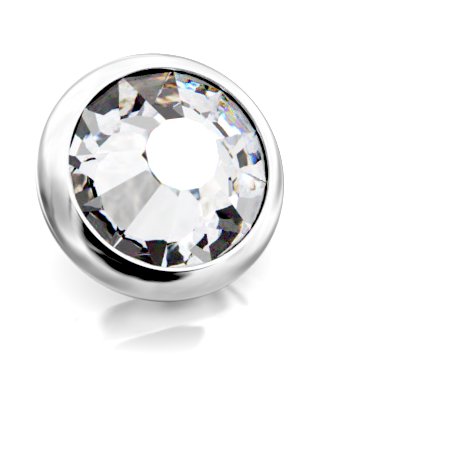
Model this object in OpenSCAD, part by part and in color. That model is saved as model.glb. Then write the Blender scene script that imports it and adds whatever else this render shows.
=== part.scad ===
/* [Cup] */
// Widest diameter of the steel cup
cup_d = 6; // [5.4:0.1:7]
// Height of the cup from its back edge to the lip
cup_h = 1.85; // [1.7:0.05:2.2]
// Height of the widest circle above the back edge
widest_h = 0.93; // [0.85:0.01:1]
// Radius of the rounding along the widest circle
rim_r = 0.47; // [0.3:0.01:0.6]
// Angle that the rounding turns through on each side of the widest circle
rim_turn = 20; // [10:1:25]
// Outer diameter of the lip's flat top
lip_outer_d = 5; // [4.9:0.01:5]
// Diameter of the opening in the lip
lip_d = 4.8; // [4.76:0.01:4.82]
// Outer diameter of the back edge
back_d = 5; // [4.8:0.1:5.1]
// Width of the flat land along the back edge
land_w = 0.08; // [0.06:0.01:0.12]
// Depth of the dished back at its middle
dish_h = 1; // [0.8:0.05:1]

/* [Stone] */
// Diameter of the stone's round girdle
girdle_d = 4.9; // [4.86:0.01:4.92]
// Thickness of the girdle above the flat, foiled back
girdle_h = 0.2; // [0.15:0.05:0.25]
// Depth of the girdle's shoulder below the lip
shoulder_drop = 0.2; // [0.15:0.05:0.25]
// Number of crown facets
facets = 12; // [8:1:16]
// Corner diameter of the crown at its foot
crown_d = 4.72; // [4.5:0.02:4.74]
// Corner diameter of the table
table_d = 1.74; // [1.4:0.02:2.4]
// Height of the table above the lip
table_rise = 1.2; // [0.8:0.05:1.4]
// Turn of the facets about the axis
facet_turn = 10; // [0:1:29]
// Gap left between the stone and the cup
seat_gap = 0.02; // [0.01:0.01:0.03]

/* [Threaded post] */
// Length of the post beyond the back edge
post_reach = 2; // [1.8:0.05:2.4]
// Major diameter of the thread
thread_d = 1.2; // [1.1:0.05:1.4]
// Diameter of the post between the threads
root_d = 0.92; // [0.9:0.01:0.96]
// Diameter of the plain neck
neck_d = 0.86; // [0.8:0.01:0.88]
// Length of the plain neck above the middle of the dish
neck_h = 0.85; // [0.7:0.05:0.9]
// Distance from one turn of the thread to the next
pitch = 0.3; // [0.25:0.01:0.35]
// Diameter of the flat end
tip_d = 0.7; // [0.6:0.02:0.8]
// Length of the chamfer at the end
tip_chamfer = 0.25; // [0.2:0.01:0.3]
// Diameter of the small turned pip on the end
pip_d = 0.3; // [0.2:0.02:0.4]
// Height of the pip
pip_h = 0.06; // [0.04:0.01:0.08]
// Radius of the fillet where the post is welded to the dish
weld_r = 0.16; // [0.1:0.01:0.2]

/* [Hidden] */

cup_r = cup_d / 2;
back_r = back_d / 2;
lip_r = lip_d / 2;
root_r = root_d / 2;
neck_r = neck_d / 2;
tip_r = tip_d / 2;
pip_r = pip_d / 2;
girdle_r = girdle_d / 2;
smooth = 120;

// Turn of the cup about its axis. It changes no round surface: it sets a corner of
// the collision facets lowest, so that the part doesn't roll away as it settles.
cup_turn = 3.6;

// Steps along each arc of the section
front_steps = 8;
rim_steps = 8;
side_steps = 8;
dish_steps = 10;
weld_steps = 5;

// Heights above the back edge, along the axis
shoulder_z = cup_h - shoulder_drop;
stone_z = shoulder_z - girdle_h;
seat_z = stone_z - seat_gap;
pocket_r = girdle_r + seat_gap;
lip_under_z = shoulder_z + seat_gap;
table_z = cup_h + table_rise;
thread_top_z = dish_h - neck_h;

// A point on a circle of the section, which is drawn as radius and height
function on_arc(c, r, a) = [c[0] + r * cos(a), c[1] + r * sin(a)];
function arc(c, r, a0, a1, n) = [for (i = [0 : n]) on_arc(c, r, a0 + (a1 - a0) * i / n)];
function turn_of(c, p) = atan2(p[1] - c[1], p[0] - c[0]);

// Radius of the arc that leaves p square to direction a and ends at q
function bulge_r(p, a, q) = (p - q) * (p - q) / (2 * (p - q) * [cos(a), sin(a)]);

// The widest circle's rounding, then the two long arcs that run on from it
rim_c = [cup_r - rim_r, widest_h];
lip_edge = [lip_outer_d / 2, cup_h];
back_edge = [back_r, 0];
rim_front = on_arc(rim_c, rim_r, rim_turn);
rim_back = on_arc(rim_c, rim_r, -rim_turn);
front_r = bulge_r(rim_front, rim_turn, lip_edge);
front_c = on_arc(rim_front, -front_r, rim_turn);
side_r = bulge_r(rim_back, -rim_turn, back_edge);
side_c = on_arc(rim_back, -side_r, -rim_turn);

// The dish is a shallow round hollow, from the land to the weld
dish_r = back_r - land_w;
dish_ball_r = (dish_r * dish_r + dish_h * dish_h) / (2 * dish_h);
dish_c = [0, dish_h - dish_ball_r];
weld_edge_r = neck_r + weld_r;
weld_foot_a = acos(weld_edge_r / dish_ball_r);
weld_foot = on_arc(dish_c, dish_ball_r, weld_foot_a);
weld_c = [weld_edge_r, weld_foot[1] - weld_r];

outside = concat(
    arc(side_c, side_r, turn_of(side_c, back_edge), -rim_turn, side_steps),
    arc(rim_c, rim_r, -rim_turn, rim_turn, rim_steps),
    arc(front_c, front_r, rim_turn, turn_of(front_c, lip_edge), front_steps)
);
pocket = [
    [lip_r, cup_h],
    [lip_r, lip_under_z],
    [pocket_r, lip_under_z],
    [pocket_r, seat_z],
    [0, seat_z]
];
post = [
    [0, -post_reach - pip_h],
    [pip_r, -post_reach - pip_h],
    [pip_r, -post_reach],
    [tip_r, -post_reach],
    [root_r, -post_reach + tip_chamfer * (root_r - tip_r) / (thread_d / 2 - tip_r)],
    [root_r, thread_top_z],
    [neck_r, thread_top_z + root_r - neck_r]
];
dish = concat(
    arc(weld_c, weld_r, 180, 90, weld_steps),
    arc(dish_c, dish_ball_r, weld_foot_a, turn_of(dish_c, [dish_r, 0]), dish_steps)
);
section = concat(post, dish, outside, pocket);

// One ring of the thread's ridge, at turn t from the tip
ring_steps = 16;
thread_start_z = -post_reach + tip_chamfer;
thread_turns = (thread_top_z - pitch / 2 - thread_start_z) / pitch;
thread_rings = round(thread_turns * ring_steps);
run_out = 0.5;
ridge_depth = thread_d / 2 - root_r;
ridge_foot_h = pitch * 0.44;
ridge_top_h = pitch * 0.1;
bury = 0.04;

function ridge_rise(t) = min(1, min(t, thread_turns - t) / run_out);
function ridge_ring(t) =
    let (
        z = thread_start_z + pitch * t,
        low = root_r - bury,
        high = root_r - bury / 4 + (ridge_depth + bury / 4) * ridge_rise(t)
    )
    [for (p = [[low, -ridge_foot_h], [high, -ridge_top_h], [high, ridge_top_h], [low, ridge_foot_h]])
        [p[0] * cos(360 * t), p[0] * sin(360 * t), z + p[1]]];

module thread_ridge() {
    rings = [for (i = [0 : thread_rings]) ridge_ring(thread_turns * i / thread_rings)];
    last = 4 * thread_rings;
    sides = [for (i = [0 : thread_rings - 1], k = [0 : 3])
        let (a = 4 * i + k, b = 4 * i + (k + 1) % 4)
        each [[a, b, a + 4], [b, b + 4, a + 4]]];
    ends = [[2, 1, 0], [3, 2, 0], [last, last + 1, last + 2], [last, last + 2, last + 3]];
    polyhedron([for (ring = rings) each ring], concat(sides, ends));
}

// The lean at which the back edge and the end of the post both touch the ground
lean = 90 - atan((back_r - tip_r) / post_reach);
reach_front = max([for (p = outside) p[0] * cos(lean) + p[1] * sin(lean)]);
reach_back = max([for (p = outside) p[0] * cos(lean) - p[1] * sin(lean)]);

module at_rest() {
    translate([0, (reach_front - reach_back) / 2, back_r * sin(lean)])
        rotate([lean, 0, 0])
            children();
}

module setting() {
    color("silver")
        at_rest()
            rotate([0, 0, cup_turn])
                union() {
                    rotate_extrude($fn = smooth) polygon(section);
                    thread_ridge();
                }
}

module crown() {
    low_r = crown_d / 2;
    high_r = table_d / 2;
    translate([0, 0, shoulder_z])
        cylinder(h = table_z - shoulder_z, r1 = low_r, r2 = high_r, $fn = facets);
}

module crystal() {
    color("aliceblue")
        at_rest()
            rotate([0, 0, facet_turn])
                union() {
                    translate([0, 0, stone_z]) cylinder(h = girdle_h, r = girdle_r, $fn = smooth);
                    crown();
                }
}

setting();
crystal();
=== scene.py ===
import math

import bmesh
import bpy
from mathutils import Matrix, Vector


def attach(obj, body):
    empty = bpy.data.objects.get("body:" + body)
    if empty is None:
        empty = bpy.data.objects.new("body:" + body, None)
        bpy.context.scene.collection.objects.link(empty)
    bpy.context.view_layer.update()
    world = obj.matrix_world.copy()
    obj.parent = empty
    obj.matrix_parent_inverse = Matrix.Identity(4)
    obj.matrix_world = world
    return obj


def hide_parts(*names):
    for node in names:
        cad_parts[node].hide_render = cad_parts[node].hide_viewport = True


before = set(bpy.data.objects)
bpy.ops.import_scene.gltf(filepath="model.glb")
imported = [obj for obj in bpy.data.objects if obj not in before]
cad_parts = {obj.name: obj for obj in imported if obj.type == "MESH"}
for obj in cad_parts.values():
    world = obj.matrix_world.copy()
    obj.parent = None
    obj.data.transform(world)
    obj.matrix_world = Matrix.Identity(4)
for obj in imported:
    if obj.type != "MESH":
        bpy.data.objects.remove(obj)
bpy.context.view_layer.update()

mm = 0.001
hairMm = 1e-4  # less than any size here, for telling whether two heights are the same
slackMm = 0.01  # for telling which part of a piece a place is on
scene = bpy.context.scene

# How the part lies: on its back edge and the end of its post. Pieces are shaped upright in
# millimetres, with the back edge at z = 0 and the stone up, and then laid down by this.
rest = {"leanDegrees": 42.92997, "backEdgeMm": (0, 0.63002, 1.70276)}
laidDown = (
    Matrix.Translation(Vector(rest["backEdgeMm"]) * mm)
    @ Matrix.Rotation(math.radians(rest["leanDegrees"]), 4, "X")
    @ Matrix.Scale(mm, 4)
)


def linearColour(code):  # an sRGB hex colour as Blender's linear values
    parts = [int(code[i : i + 2], 16) / 255 for i in (0, 2, 4)]
    return (*[p / 12.92 if p <= 0.04045 else ((p + 0.055) / 1.055) ** 2.4 for p in parts], 1)


def addNode(tree, kind, inputs=None, **settings):  # a node with its settings, values and links
    node = tree.nodes.new(kind)
    for name, value in settings.items():
        setattr(node, name, value)
    for name, value in (inputs or {}).items():
        if isinstance(value, bpy.types.NodeSocket):
            tree.links.new(value, node.inputs[name])
        else:
            node.inputs[name].default_value = value
    return node


def addMath(tree, operation, *values):
    return addNode(tree, "ShaderNodeMath", dict(enumerate(values)), operation=operation).outputs[0]


def addNoise(tree, place, scale, detail, **more):
    inputs = {"Vector": place, "Scale": scale, "Detail": detail, **more}
    return addNode(tree, "ShaderNodeTexNoise", inputs).outputs["Fac"]


def mapRange(tree, value, start, end, kind="LINEAR"):  # each end: a value and what it becomes
    inputs = {"Value": value, "From Min": start[0], "To Min": start[1]}
    inputs |= {"From Max": end[0], "To Max": end[1]}
    return addNode(tree, "ShaderNodeMapRange", inputs, interpolation_type=kind).outputs[0]


def mixColours(tree, share, first, second):
    inputs = {0: share, 6: first, 7: second}
    return addNode(tree, "ShaderNodeMix", inputs, data_type="RGBA").outputs[2]


def mixValues(tree, share, first, second):
    inputs = {0: share, 2: first, 3: second}
    return addNode(tree, "ShaderNodeMix", inputs, data_type="FLOAT").outputs[0]


def stretch(tree, vector, factors):
    inputs = {0: vector, 1: factors}
    return addNode(tree, "ShaderNodeVectorMath", inputs, operation="MULTIPLY").outputs[0]


def distance(tree, x, y):
    flat = addNode(tree, "ShaderNodeCombineXYZ", {"X": x, "Y": y}).outputs[0]
    return addNode(tree, "ShaderNodeVectorMath", {0: flat}, operation="LENGTH").outputs["Value"]


def newMaterial(name):
    material = bpy.data.materials.new(name)
    material.use_nodes = True
    material.node_tree.nodes.clear()
    return material, material.node_tree


def addSurface(tree, shader):
    addNode(tree, "ShaderNodeOutputMaterial", {"Surface": shader.outputs[0]})


def addMetal(tree, colour, roughness, height, strength, bumpMm):
    inputs = {"Height": height, "Strength": strength, "Distance": bumpMm * mm}
    bump = addNode(tree, "ShaderNodeBump", inputs).outputs[0]
    inputs = {"Base Color": colour, "Metallic": 1.0, "Roughness": roughness, "Normal": bump}
    addSurface(tree, addNode(tree, "ShaderNodeBsdfPrincipled", inputs))


# Places on the cup, in millimetres: upright is x, y and z about its axis, radius is the
# distance from the axis, and around is the radius, the height and the turn in radians.
# The scale of a pattern laid on any of them is therefore per millimetre.
def cupCoordinates(tree):
    place = addNode(tree, "ShaderNodeTexCoord").outputs["Object"]
    upright = addNode(
        tree,
        "ShaderNodeMapping",
        {
            "Vector": place,
            "Location": Vector(rest["backEdgeMm"]) * mm,
            "Rotation": (math.radians(rest["leanDegrees"]), 0, 0),
            "Scale": (mm, mm, mm),
        },
        vector_type="TEXTURE",
    ).outputs["Vector"]
    apart = addNode(tree, "ShaderNodeSeparateXYZ", {"Vector": upright}).outputs
    radius = distance(tree, apart["X"], apart["Y"])
    turn = addMath(tree, "ARCTAN2", apart["Y"], apart["X"])
    inputs = {"X": radius, "Y": apart["Z"], "Z": turn}
    around = addNode(tree, "ShaderNodeCombineXYZ", inputs).outputs[0]
    return {"upright": upright, "radius": radius, "around": around}


# Sections are drawn in the XZ plane, from one vertex to the next.
def lineTo(bm, vert, radius, height):
    made = bmesh.ops.extrude_vert_indiv(bm, verts=[vert])["verts"][0]
    made.co = Vector((radius, 0, height))
    return made


def arcOn(bm, vert, centre, degrees, steps):  # counter-clockwise in the (radius, height) plane
    made = bmesh.ops.spin(
        bm,
        geom=[vert],
        cent=(centre[0], 0, centre[1]),
        axis=(0, -1, 0),
        angle=math.radians(degrees),
        steps=steps,
        use_duplicate=False,
    )
    return made["geom_last"][0]


def pointOn(centre, radius, degrees):
    a = math.radians(degrees)
    return centre[0] + radius * math.cos(a), centre[1] + radius * math.sin(a)


def turnOf(centre, point):
    return math.degrees(math.atan2(point[1] - centre[1], point[0] - centre[0]))


def bulgeRadius(start, degrees, end):  # of the arc that leaves start square to the direction
    apart = Vector(start) - Vector(end)
    a = math.radians(degrees)
    return apart.length_squared / (2 * apart.dot(Vector((math.cos(a), math.sin(a)))))


print("scene: steel setting")
setting = {
    "acrossMm": 6.0,
    "highMm": 1.85,
    "widestMm": 0.93,  # height of the widest circle
    "rimRoundMm": 0.47,
    "rimTurn": 20,
    "lipOutMm": 2.5,
    "lipInMm": 2.4,
    "lipUnderMm": 1.67,
    "pocketMm": 2.47,
    "seatMm": 1.43,
    "backMm": 2.5,
    "landMm": 0.08,
    "dishMm": 1.0,
    "webMm": 1.23,  # a height between the dish and the pocket
    "postReachMm": 2.0,
    "coreMm": 0.46,
    "neckMm": 0.43,
    "tipMm": 0.35,
    "chamferMm": 0.11,
    "pipMm": 0.15,
    "pipHighMm": 0.06,
    "crestMm": 0.6,
    "pitchMm": 0.3,
    "threadFromMm": -1.75,
    "threadToMm": 0.15,
    "runInMm": 0.12,  # how far the thread starts before its full height
    "fadeMm": 0.15,
    "ridgeFoot": 0.42,  # from the middle of the ridge, as a share of the pitch
    "ridgeFlank": 0.32,
    "weldMm": 0.16,
    "weldFromMm": 0.8,  # the post's turned finish ends here, just under the weld
    "beadMm": (0.44, 0.7),  # from the neck to where the weld's bead ends on the dish
    "beadFromMm": 0.75,
    "beadHighMm": 0.018,
    "beadRoughMm": 0.009,
    "beadWaves": ((1.0, 13, 0), (0.7, 29, 5), (0.5, 47, 0)),  # height, times round, twist
    "edgeMm": 0.018,  # the rounding that polishing leaves on a sharp edge
    "sharpDegrees": 28,
    "pointMm": 0.1,  # edges nearer the axis than this aren't rounded
    "steps": 192,
    "threadSteps": 120,
    "weldSteps": 10,
    "dishSteps": 48,
    "sideSteps": 24,
    "rimSteps": 24,
    "frontSteps": 32,
}


def drawSetting(bm, s):
    rimCentre = (s["acrossMm"] / 2 - s["rimRoundMm"], s["widestMm"])
    rimFront = pointOn(rimCentre, s["rimRoundMm"], s["rimTurn"])
    rimBack = pointOn(rimCentre, s["rimRoundMm"], -s["rimTurn"])
    lip, back = (s["lipOutMm"], s["highMm"]), (s["backMm"], 0)
    frontRadius = bulgeRadius(rimFront, s["rimTurn"], lip)
    frontCentre = pointOn(rimFront, -frontRadius, s["rimTurn"])
    sideRadius = bulgeRadius(rimBack, -s["rimTurn"], back)
    sideCentre = pointOn(rimBack, -sideRadius, -s["rimTurn"])
    dishEdge = s["backMm"] - s["landMm"]
    dishRadius = (dishEdge**2 + s["dishMm"] ** 2) / (2 * s["dishMm"])
    dishCentre = (0, s["dishMm"] - dishRadius)
    weldEdge = s["neckMm"] + s["weldMm"]
    weldTurn = math.degrees(math.acos(weldEdge / dishRadius))
    weldFoot = pointOn(dishCentre, dishRadius, weldTurn)
    weldCentre = (weldEdge, weldFoot[1] - s["weldMm"])
    end = -s["postReachMm"]

    v = bm.verts.new((0, 0, end - s["pipHighMm"]))
    v = lineTo(bm, v, s["pipMm"], end - s["pipHighMm"])
    v = lineTo(bm, v, s["pipMm"], end)
    v = lineTo(bm, v, s["tipMm"], end)
    v = lineTo(bm, v, s["coreMm"], end + s["chamferMm"])
    low, high = end + s["chamferMm"], s["threadToMm"]
    for i in range(1, s["threadSteps"] + 1):
        v = lineTo(bm, v, s["coreMm"], low + (high - low) * i / s["threadSteps"])
    v = lineTo(bm, v, s["neckMm"], s["threadToMm"] + s["coreMm"] - s["neckMm"])
    v = lineTo(bm, v, s["neckMm"], weldCentre[1])
    v = arcOn(bm, v, weldCentre, -90, s["weldSteps"])
    v.co = (weldFoot[0], 0, weldFoot[1])
    v = arcOn(bm, v, dishCentre, turnOf(dishCentre, (dishEdge, 0)) - weldTurn, s["dishSteps"])
    v = lineTo(bm, v, *back)
    v = arcOn(bm, v, sideCentre, -s["rimTurn"] - turnOf(sideCentre, back), s["sideSteps"])
    v = arcOn(bm, v, rimCentre, 2 * s["rimTurn"], s["rimSteps"])
    v = arcOn(bm, v, frontCentre, turnOf(frontCentre, lip) - s["rimTurn"], s["frontSteps"])
    v = lineTo(bm, v, s["lipInMm"], s["highMm"])
    v = lineTo(bm, v, s["lipInMm"], s["lipUnderMm"])
    v = lineTo(bm, v, s["pocketMm"], s["lipUnderMm"])
    v = lineTo(bm, v, s["pocketMm"], s["seatMm"])
    lineTo(bm, v, 0, s["seatMm"])


def threadRise(s, turn, height):  # 0 on the core, 1 on the crest, fading out at both ends
    away = ((height - s["threadFromMm"]) / s["pitchMm"] - turn / math.tau) % 1
    away = min(away, 1 - away)
    ridge = min(1, max(0, (s["ridgeFoot"] - away) / s["ridgeFlank"]))
    fadeIn = (height - s["threadFromMm"] + s["runInMm"]) / s["fadeMm"]
    fadeOut = (s["threadToMm"] - height) / s["fadeMm"]
    return ridge * ridge * (3 - 2 * ridge) * max(0, min(1, fadeIn, fadeOut))


def cutThread(bm, s):  # a helix round the core
    for v in bm.verts:
        onCore = abs(v.co.xy.length - s["coreMm"]) < slackMm
        if onCore and s["threadFromMm"] - s["runInMm"] < v.co.z < s["threadToMm"]:
            rise = threadRise(s, math.atan2(v.co.y, v.co.x), v.co.z)
            v.co.xy *= 1 + rise * (s["crestMm"] - s["coreMm"]) / s["coreMm"]


def laySeam(bm, s):  # the uneven bead that the weld leaves
    start, end = s["beadMm"]
    for v in bm.verts:
        away = v.co.xy.length
        if start < away < end and s["beadFromMm"] < v.co.z < s["dishMm"]:
            turn = math.atan2(v.co.y, v.co.x)
            waves = [h * math.sin(n * turn + twist * away) for h, n, twist in s["beadWaves"]]
            bead = math.sin(math.pi * (away - start) / (end - start))
            v.co.z -= bead * (s["beadHighMm"] + s["beadRoughMm"] * sum(waves))


def makeSetting(s):
    bm = bmesh.new()
    drawSetting(bm, s)
    bmesh.ops.spin(
        bm,
        geom=bm.verts[:] + bm.edges[:],
        cent=(0, 0, 0),
        axis=(0, 0, 1),
        angle=math.tau,
        steps=s["steps"],
        use_merge=True,
        use_duplicate=False,
    )
    bmesh.ops.remove_doubles(bm, verts=bm.verts, dist=hairMm / 10)
    bmesh.ops.recalc_face_normals(bm, faces=bm.faces)
    bm.normal_update()
    sharp = [
        e
        for e in bm.edges
        if len(e.link_faces) == 2
        and e.calc_face_angle() > math.radians(s["sharpDegrees"])
        and min(v.co.xy.length for v in e.verts) > s["pointMm"]
        and abs(e.verts[0].co.z - e.verts[1].co.z) < hairMm
    ]
    bmesh.ops.bevel(
        bm,
        geom=sharp,
        offset=s["edgeMm"],
        affect="EDGES",
        segments=3,
        profile=0.5,
        material=-1,
        clamp_overlap=True,
    )
    cutThread(bm, s)
    laySeam(bm, s)
    return bm


def settingSlot(s, face):  # 0 polished, 1 blasted in the dish, 2 turned on the post
    centre = face.calc_center_median()
    away = centre.xy.length
    if away < s["crestMm"] + slackMm and centre.z < s["weldFromMm"]:
        return 2
    return int(away < s["backMm"] - s["landMm"] + slackMm and centre.z < s["webMm"])


def finishPiece(bm, name, materials):
    bmesh.ops.transform(bm, matrix=laidDown, verts=bm.verts)
    mesh = bpy.data.meshes.new(name)
    bm.to_mesh(mesh)
    bm.free()
    for material in materials:
        mesh.materials.append(material)
    piece = bpy.data.objects.new(name, mesh)
    scene.collection.objects.link(piece)
    return piece


# Stainless steel, turned and then polished on a wheel: bright and mirror-like, with faint
# rings round the axis and a soft waviness that the eye sees only in the reflections.
def mirrorSteel():
    material, tree = newMaterial("mirrorPolishedStainless")
    cup = cupCoordinates(tree)
    wheel = stretch(tree, cup["around"], (26, 26, 1.5))  # rings 0.04 mm apart: finer don't show
    rings = addNoise(tree, wheel, scale=1.0, detail=3.0)
    waves = addNoise(tree, cup["upright"], scale=1.6, detail=1.0)
    gloss = mapRange(tree, rings, (0.3, 0.035), (0.75, 0.085))
    tone = mixColours(tree, rings, linearColour("E6E6E7"), linearColour("DEDEDF"))
    relief = addMath(tree, "MULTIPLY_ADD", rings, 0.04, waves)
    addMetal(tree, tone, gloss, relief, strength=1.0, bumpMm=0.012)
    return material


# The same steel in the hollow back, left as it was blasted: satin with a fine grain, and
# darker grey in a ring round the weld.
def satinSteel():
    material, tree = newMaterial("blastedStainless")
    cup = cupCoordinates(tree)
    grain = addNoise(tree, cup["upright"], scale=22.0, detail=4.0, Roughness=0.7)
    gloss = mapRange(tree, grain, (0.3, 0.12), (0.7, 0.28))
    tone = mixColours(tree, grain, linearColour("C4C4C4"), linearColour("EDEDED"))
    # darker grey in a ring on the dish round the weld's foot
    darkerNearWeld = mapRange(tree, cup["radius"], (0.62, 0.8), (0.85, 0.0), "SMOOTHSTEP")
    scale = mixColours(tree, darkerNearWeld, tone, linearColour("7C7A78"))
    addMetal(tree, scale, gloss, grain, strength=0.7, bumpMm=0.014)
    return material


# The post, turned and threaded on a lathe: bright, with fine tool marks round it.
def turnedSteel():
    material, tree = newMaterial("turnedStainless")
    cup = cupCoordinates(tree)
    lathe = stretch(tree, cup["around"], (24, 24, 1.2))  # marks 0.04 mm apart: finer don't show
    marks = addNoise(tree, lathe, scale=1.0, detail=3.0)
    gloss = mapRange(tree, marks, (0.3, 0.08), (0.7, 0.22))
    tone = mixColours(tree, marks, linearColour("D0D0D0"), linearColour("E8E8E9"))
    addMetal(tree, tone, gloss, marks, strength=0.6, bumpMm=0.008)
    return material


settingMesh = makeSetting(setting)
for face in settingMesh.faces:
    face.smooth = True
    face.material_index = settingSlot(setting, face)
steels = [mirrorSteel(), satinSteel(), turnedSteel()]
settingPiece = finishPiece(settingMesh, "steelSetting", steels)
settingPiece.modifiers.new("weightedCorners", "WEIGHTED_NORMAL").keep_sharp = True
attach(settingPiece, "root")
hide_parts("setting")

print("scene: crystal")
stone = {
    "girdleMm": 2.45,
    "girdleFromMm": 1.45,
    "facets": 12,
    "crownMm": 2.392,  # corners of the crown's foot, just under the lip
    "footMm": 1.62,
    "tableMm": 0.87,
    "tableAtMm": 3.05,
    "turn": 10,
    "ledgeCuts": 15,
    "foilWithinMm": 0.1,  # the middle of the foiled back lies this near the axis
    "paintedShadeFrom": 68,  # the turns between which black is painted over the whole ledge, as painted shade
    "paintedShadeTo": 155,
    "paintedShadeReachMm": 2.192,  # where it ends there, and where its edge lies elsewhere
    "paintedShadeEdgeMm": 2.385,
    "glassIndex": 1.51,
    "fireIndex": (1.505, 1.51, 1.517),  # red, green and blue
}


def addGlass(tree, code, index):
    inputs = {"Color": linearColour(code), "Roughness": 0.0, "IOR": index}
    return addNode(tree, "ShaderNodeBsdfGlass", inputs).outputs[0]


# Lead crystal, cut and polished on the crown: clear, and it bends blue light more than red,
# which gives the coloured fire along the edges of what shows through a facet.
def clearCrystal(s):
    material, tree = newMaterial("leadCrystal")
    plain = addGlass(tree, "FFFFFF", s["glassIndex"])
    codes = ("FF0000", "00FF00", "0000FF")
    red, green, blue = [addGlass(tree, code, i) for code, i in zip(codes, s["fireIndex"])]
    warm = addNode(tree, "ShaderNodeAddShader", {0: red, 1: green}).outputs[0]
    fire = addNode(tree, "ShaderNodeAddShader", {0: warm, 1: blue}).outputs[0]
    first = addNode(tree, "ShaderNodeLightPath").outputs["Is Camera Ray"]
    addSurface(tree, addNode(tree, "ShaderNodeMixShader", {0: first, 1: plain, 2: fire}))
    return material


# Silver foil fused to the flat back: a mirror seen through the glass.
def silverFoil():
    material, tree = newMaterial("silverFoil")
    waves = addNoise(tree, cupCoordinates(tree)["upright"], scale=1.3, detail=2.0)
    addMetal(tree, linearColour("F7F7F8"), 0.02, waves, strength=1.0, bumpMm=0.006)
    return material


# Painted shade: black painted over the ledge round the stone for the shade in the recess under
# the lip, with an uneven edge; within that edge the silvering shows.
def paintedLedgeShade(name, edgeMm):
    material, tree = newMaterial(name)
    cup = cupCoordinates(tree)
    noise = addNoise(tree, cup["upright"], scale=5.0, detail=2.0)
    uneven = addMath(tree, "MULTIPLY_ADD", noise, 0.06, cup["radius"])
    bare = mapRange(tree, uneven, (edgeMm, 1.0), (edgeMm + 0.02, 0.0))
    tone = mixColours(tree, bare, linearColour("060607"), linearColour("D8D8DA"))
    inputs = {"Base Color": tone, "Metallic": bare, "Roughness": 0.5, "Specular IOR Level": 0.2}
    addSurface(tree, addNode(tree, "ShaderNodeBsdfPrincipled", inputs))
    return material


def makeStone(s):
    bm = bmesh.new()
    depth = s["tableAtMm"] - s["footMm"]
    bmesh.ops.create_cone(
        bm,
        cap_ends=True,
        cap_tris=False,
        segments=s["facets"],
        radius1=s["crownMm"],
        radius2=s["tableMm"],
        depth=depth,
        matrix=Matrix.Rotation(math.radians(s["turn"]), 4, "Z")
        @ Matrix.Translation((0, 0, s["footMm"] + depth / 2)),
    )
    bm.normal_update()
    foot = [f for f in bm.faces if f.normal.z < -0.9]
    bmesh.ops.subdivide_edges(bm, edges=foot[0].edges[:], cuts=s["ledgeCuts"])
    foot = [f for f in bm.faces if f.calc_center_median().z < s["footMm"] + hairMm]
    for low in (s["footMm"], s["girdleFromMm"]):  # the ledge, then the side of the girdle
        made = bmesh.ops.extrude_face_region(bm, geom=foot)["geom"]
        bmesh.ops.delete(bm, geom=foot, context="FACES_ONLY")
        foot = [f for f in made if isinstance(f, bmesh.types.BMFace)]
        for v in foot[0].verts:
            v.co.xy *= s["girdleMm"] / v.co.xy.length
            v.co.z = low
    bmesh.ops.recalc_face_normals(bm, faces=bm.faces)
    bm.normal_update()
    return bm


def stoneSlot(s, face):  # 0 clear, 1 foiled, 2 painted black as shade, 3 with its thin edge
    centre = face.calc_center_median()
    isBack = face.normal.z < -0.9 and centre.xy.length < s["foilWithinMm"]
    isGirdle = s["girdleFromMm"] < centre.z < s["footMm"] + slackMm
    isLedge = isGirdle and face.normal.z > 0.5
    if isLedge:
        turn = math.degrees(math.atan2(centre.y, centre.x)) % 360
        return 2 if s["paintedShadeFrom"] < turn < s["paintedShadeTo"] else 3
    return int(isBack or isGirdle)


stoneMesh = makeStone(stone)
for face in stoneMesh.faces:
    face.smooth = False
    face.material_index = stoneSlot(stone, face)
stonePiece = finishPiece(
    stoneMesh,
    "facetedCrystal",
    [
        clearCrystal(stone),
        silverFoil(),
        # the ledge painted black: painted shade in the recess under the lip
        paintedLedgeShade("paintedLedgeShade", stone["paintedShadeReachMm"]),
        paintedLedgeShade("paintedLedgeShadeEdge", stone["paintedShadeEdgeMm"]),
    ],
)
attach(stonePiece, "root")
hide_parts("crystal")

print("scene: floor, light and camera")
studio = {
    "floorHalf": 0.3,
    "floorTone": "E6E6E6",
    "floorGloss": 0.45,
    "mirrorMm": (2.5, 6.0),
    "tentLight": 1.32,
    "lowLight": 0.75,
    "lowEdge": (-0.95, -0.45),  # between these heights, of -1 to 1, the tent greys
    "foldStretch": (1, 1, 0.12),  # the folds hang down
    "foldShade": (0.88, 1.0),
    "stoneShade": (0.92, 1.12),
    "faceLight": 0.3,
    "floorLight": 2.7,
    "blackLevel": 0.03,  # the photo's darks are pushed to black
    "softness": 0.3,  # of a patch that states none
    "lensMm": 329.4,
    "awayMm": 100.0,
    "rightMm": 1.52,  # the aim, from the middle of the lip
    "downMm": 1.58,
}


def floorMaterial(s):  # white acrylic sheet: matt far off, with a soft mirror image near the part
    material, tree = newMaterial("whiteAcrylicFloor")
    place = addNode(tree, "ShaderNodeTexCoord").outputs["Object"]
    away = addNode(tree, "ShaderNodeVectorMath", {0: place}, operation="LENGTH").outputs["Value"]
    near, far = [edge * mm for edge in s["mirrorMm"]]
    share = mapRange(tree, away, (near, s["floorGloss"]), (far, 0.0), "SMOOTHSTEP")
    inputs = {"Color": linearColour(s["floorTone"])}
    matt = addNode(tree, "ShaderNodeBsdfDiffuse", inputs).outputs[0]
    inputs = {"Color": linearColour("FFFFFF"), "Roughness": 0.1}
    gloss = addNode(tree, "ShaderNodeBsdfGlossy", inputs).outputs[0]
    addSurface(tree, addNode(tree, "ShaderNodeMixShader", {0: share, 1: matt, 2: gloss}))
    return material


floorMesh = bmesh.new()
bmesh.ops.create_grid(floorMesh, x_segments=1, y_segments=1, size=studio["floorHalf"])
floorData = bpy.data.meshes.new("floor")
floorMesh.to_mesh(floorData)
floorMesh.free()
floorData.materials.append(floorMaterial(studio))
floor = bpy.data.objects.new("floor", floorData)
scene.collection.objects.link(floor)
floor.visible_glossy = False
floor.visible_transmission = False


def towards(azimuth, elevation):  # azimuth 0 is behind the part, 90 to its right
    a, e = math.radians(azimuth), math.radians(elevation)
    return Vector((math.cos(e) * math.sin(a), math.cos(e) * math.cos(a), math.sin(e)))


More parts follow.
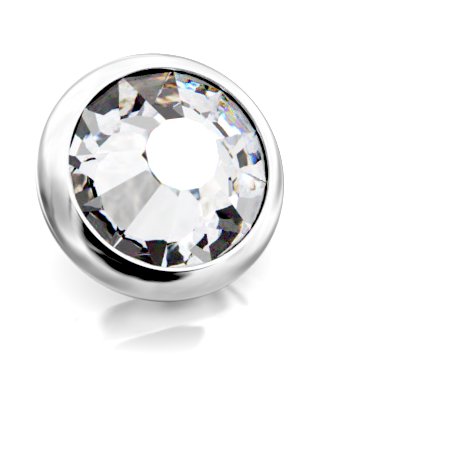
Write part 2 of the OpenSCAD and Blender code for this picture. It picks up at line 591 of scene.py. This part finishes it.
# What the steel mirrors: a white tent, greyer below, with the dark gap in front through which
# the camera looks, and soft grey folds. Each patch is an oval: where it lies, its half width
# and half height, and its turn, in degrees, its softness and its light. "half" stands for the
# half width and half height of a round patch.
steelTent = [
    {"at": (-82, -4), "oval": (20, 16), "soft": 0.7, "light": 0.6},
    {"at": (-49, -5), "oval": (9, 6), "soft": 0.9, "light": 0.35},
    {"at": (-61, -13), "oval": (9, 7), "soft": 0.7, "light": 0.14},
    {"at": (-69, -23), "oval": (9, 8), "soft": 0.7, "light": 0.2},
    {"at": (-75, -32), "oval": (10, 8), "soft": 0.7, "light": 0.24},
    {"at": (-91, -40), "oval": (16, 9), "soft": 0.9, "light": 0.38},
    {"at": (-104, -55), "oval": (18, 11), "soft": 0.9, "light": 0.42},
    {"at": (-36, -41), "oval": (18, 11), "soft": 0.8, "light": 0.22},
    {"at": (-60, -47), "oval": (14, 9), "soft": 0.9, "light": 0.35},
    {"at": (-74, -18), "oval": (2, 16), "turn": 12, "soft": 0.9, "light": 0.3},
    {"at": (-95, 12), "oval": (2, 14), "turn": 8, "soft": 0.9, "light": 0.35},
    {"at": (-18, -3), "oval": (36, 5), "soft": 0.8, "light": 0.65},
    {"at": (27, -12), "oval": (8, 4), "soft": 0.8, "light": 0.65},
    {"at": (22, -34), "oval": (17, 17), "soft": 0.5, "light": 0.3},
    {"at": (22, -60), "oval": (9, 20), "soft": 0.8, "light": 0.25},
    {"at": (60, -25), "oval": (16, 5), "soft": 0.8, "light": 0.55},
    {"at": (68, -46), "oval": (26, 6), "turn": 22, "soft": 0.8, "light": 0.4},
    {"at": (127, -30), "oval": (6, 6), "soft": 0.9, "light": 0.8},
    {"at": (15, 37), "oval": (18, 3), "turn": 15, "soft": 0.9, "light": 0.85},
    {"at": (-155, -2), "oval": (49, 42), "soft": 0.08, "light": 0.004},  # the gap in front
    {"at": (-170, -42), "oval": (17, 7), "soft": 0.3, "light": 0.015},
    {"at": (-117, -18.5), "oval": (7, 2.2), "turn": -25, "soft": 0.9, "light": 0.5},
    {"at": (-131, -25), "oval": (9, 1.3), "turn": -25, "soft": 0.9, "light": 0.1},
]

# What the polished faces of the stone mirror. A polarising filter on the lens takes most of the
# tent's sheen off glass but not off metal, and leaves the lamp, which whitens the table.
faceTent = [{"at": (149, 53), "half": 8, "soft": 0.1, "light": 30.0}]

# What shows through the stone: the same tent seen by light that has turned inside it, which
# picks out single gaps, stands and bright cards of the set.
stoneTent = [
    {"at": (-84, -45), "half": 18, "light": 1.45},  # cards
    {"at": (146, 18), "half": 4, "light": 1.3},
    {"at": (-168, -63), "half": 12, "light": 0.0},  # below, behind the floor's edge
    {"at": (157, -73), "half": 11, "light": 0.0},
    {"at": (137, -41), "half": 9, "light": 0.04},
    {"at": (156, -58), "half": 4, "light": 0.12},
    {"at": (119, -41), "half": 6, "light": 0.6},
    {"at": (180, 84), "half": 5.5, "light": 0.0},  # overhead
    {"at": (176, 62), "half": 4, "light": 0.4},
    {"at": (-173, 68), "half": 3, "light": 0.005},
    {"at": (-163, 60), "half": 3, "light": 0.005},
    {"at": (-167, 65), "half": 3, "light": 0.1},
    {"at": (-161, 73), "half": 4, "light": 1.0},
    {"at": (-157, 42), "half": 3, "light": 0.2},
    {"at": (-165, 40), "half": 3, "light": 1.3},
    {"at": (-129, 38), "half": 6, "light": 0.01},
    {"at": (-116, 30), "half": 7, "light": 0.005},
    {"at": (-140, 18), "half": 5, "light": 0.005},  # the gap in front
    {"at": (-126, 9), "half": 5, "light": 0.1},
    {"at": (-138, -1), "half": 5, "light": 0.08},
    {"at": (-155, 2), "half": 6, "light": 0.05},
    {"at": (-169, -7), "half": 7, "light": 0.12},
    {"at": (163, 26), "half": 3, "light": 0.12},  # the right
    {"at": (153, 43), "half": 4, "light": 0.06},
    {"at": (149, 53), "half": 4, "light": 0.08},
    {"at": (146, 33), "half": 3, "light": 0.1},
    {"at": (146, 26), "half": 3, "light": 0.65},
    {"at": (157, 31), "half": 3, "light": 0.35},
    {"at": (165, 33), "half": 3, "light": 0.6},
    {"at": (171, 28), "half": 4, "light": 1.3},
    {"at": (154, 62), "half": 3, "light": 0.2},
    {"at": (140, 73), "half": 3, "light": 0.005},
    {"at": (102, 62), "half": 9, "light": 0.98},
    {"at": (110, 46), "half": 3, "soft": 0.9, "light": 0.48},
    {"at": (104, -13), "half": 6, "light": 0.05},
    {"at": (-36, 8), "half": 8, "light": 0.005},  # behind
    {"at": (-51, 10), "half": 5, "light": 0.6},
    {"at": (-24, 36), "half": 6, "light": 0.01},
    {"at": (-8, 32), "half": 6, "light": 0.45},
    {"at": (28, 41), "half": 6, "light": 0.01},
]


def drawPatches(tree, way, light, patches):
    for patch in patches:
        facing = towards(*patch["at"]).to_track_quat("Y", "Z").to_matrix()
        facing = facing @ Matrix.Rotation(math.radians(patch.get("turn", 0)), 3, "Y")
        oval = patch.get("oval", (patch.get("half"),) * 2)
        wide, high = (math.sin(math.radians(a)) for a in oval)
        inputs = {"Vector": way, "Rotation": facing.to_euler(), "Scale": (wide, 1, high)}
        turned = addNode(tree, "ShaderNodeMapping", inputs, vector_type="TEXTURE").outputs[0]
        apart = addNode(tree, "ShaderNodeSeparateXYZ", {"Vector": turned}).outputs
        away = distance(tree, apart["X"], apart["Z"])
        soft = patch.get("soft", studio["softness"])
        inside = mapRange(tree, away, (1 + soft, 0.0), (1 - soft, 1.0), "SMOOTHSTEP")
        ahead = addMath(tree, "GREATER_THAN", apart["Y"], 0.0)
        share = addMath(tree, "MULTIPLY", inside, ahead)
        light = mixValues(tree, share, light, patch["light"])
    return light


def makeTent(s):
    world = bpy.data.worlds.new("tent")
    world.use_nodes = True
    tree = world.node_tree
    tree.nodes.clear()
    way = addNode(tree, "ShaderNodeTexCoord").outputs["Generated"]
    upward = addNode(tree, "ShaderNodeSeparateXYZ", {"Vector": way}).outputs["Z"]
    folds = addNoise(tree, stretch(tree, way, s["foldStretch"]), scale=4.0, detail=1.0)
    shade = mapRange(tree, folds, (0.3, s["foldShade"][0]), (0.6, s["foldShade"][1]))
    greyFrom, greyTo = s["lowEdge"]
    low, high = (greyFrom, s["lowLight"]), (greyTo, s["tentLight"])
    level = addMath(tree, "MULTIPLY", mapRange(tree, upward, low, high, "SMOOTHSTEP"), shade)
    mottle = addNoise(tree, way, scale=10.0, detail=2.0, Distortion=1.0)
    pale = mapRange(tree, mottle, (0.3, s["stoneShade"][0]), (0.6, s["stoneShade"][1]))
    level = drawPatches(tree, way, level, steelTent)
    path = addNode(tree, "ShaderNodeLightPath").outputs
    for kind, light in (
        ("Is Singular Ray", drawPatches(tree, way, s["faceLight"], faceTent)),
        ("Is Transmission Ray", drawPatches(tree, way, pale, stoneTent)),
        ("Is Diffuse Ray", s["floorLight"]),
        ("Is Camera Ray", 1.0),
    ):
        level = mixValues(tree, path[kind], level, light)
    inputs = {"Color": linearColour("FFFFFF"), "Strength": level}
    glow = addNode(tree, "ShaderNodeBackground", inputs).outputs[0]
    addNode(tree, "ShaderNodeOutputWorld", {"Surface": glow})
    return world


scene.world = makeTent(studio)
scene.view_settings.view_transform = "Standard"
scene.view_settings.use_curve_mapping = True
scene.view_settings.curve_mapping.black_level = (studio["blackLevel"],) * 3
scene.cycles.glossy_bounces = 16  # light turns many times inside the stone
scene.cycles.transmission_bounces = 16
scene.cycles.max_bounces = 24

# The camera looks down at the stone from the front left, as in the photo.
cameraRight = Vector((0.926, -0.375, 0.0)).normalized()
cameraBack = Vector((-0.307, -0.758, 0.574)).normalized()
cameraUp = cameraBack.cross(cameraRight).normalized()
lipMiddle = laidDown @ Vector((0, 0, setting["highMm"]))
aim = lipMiddle + (cameraRight * studio["rightMm"] - cameraUp * studio["downMm"]) * mm
lens = bpy.data.cameras.new("camera")
lens.lens = studio["lensMm"]
lens.clip_start = 0.001
lens.clip_end = 10
camera = bpy.data.objects.new("camera", lens)
turned = Matrix((cameraRight, cameraUp, cameraBack)).transposed().to_4x4()
camera.matrix_world = Matrix.Translation(aim + cameraBack * studio["awayMm"] * mm) @ turned
scene.collection.objects.link(camera)
scene.camera = camera
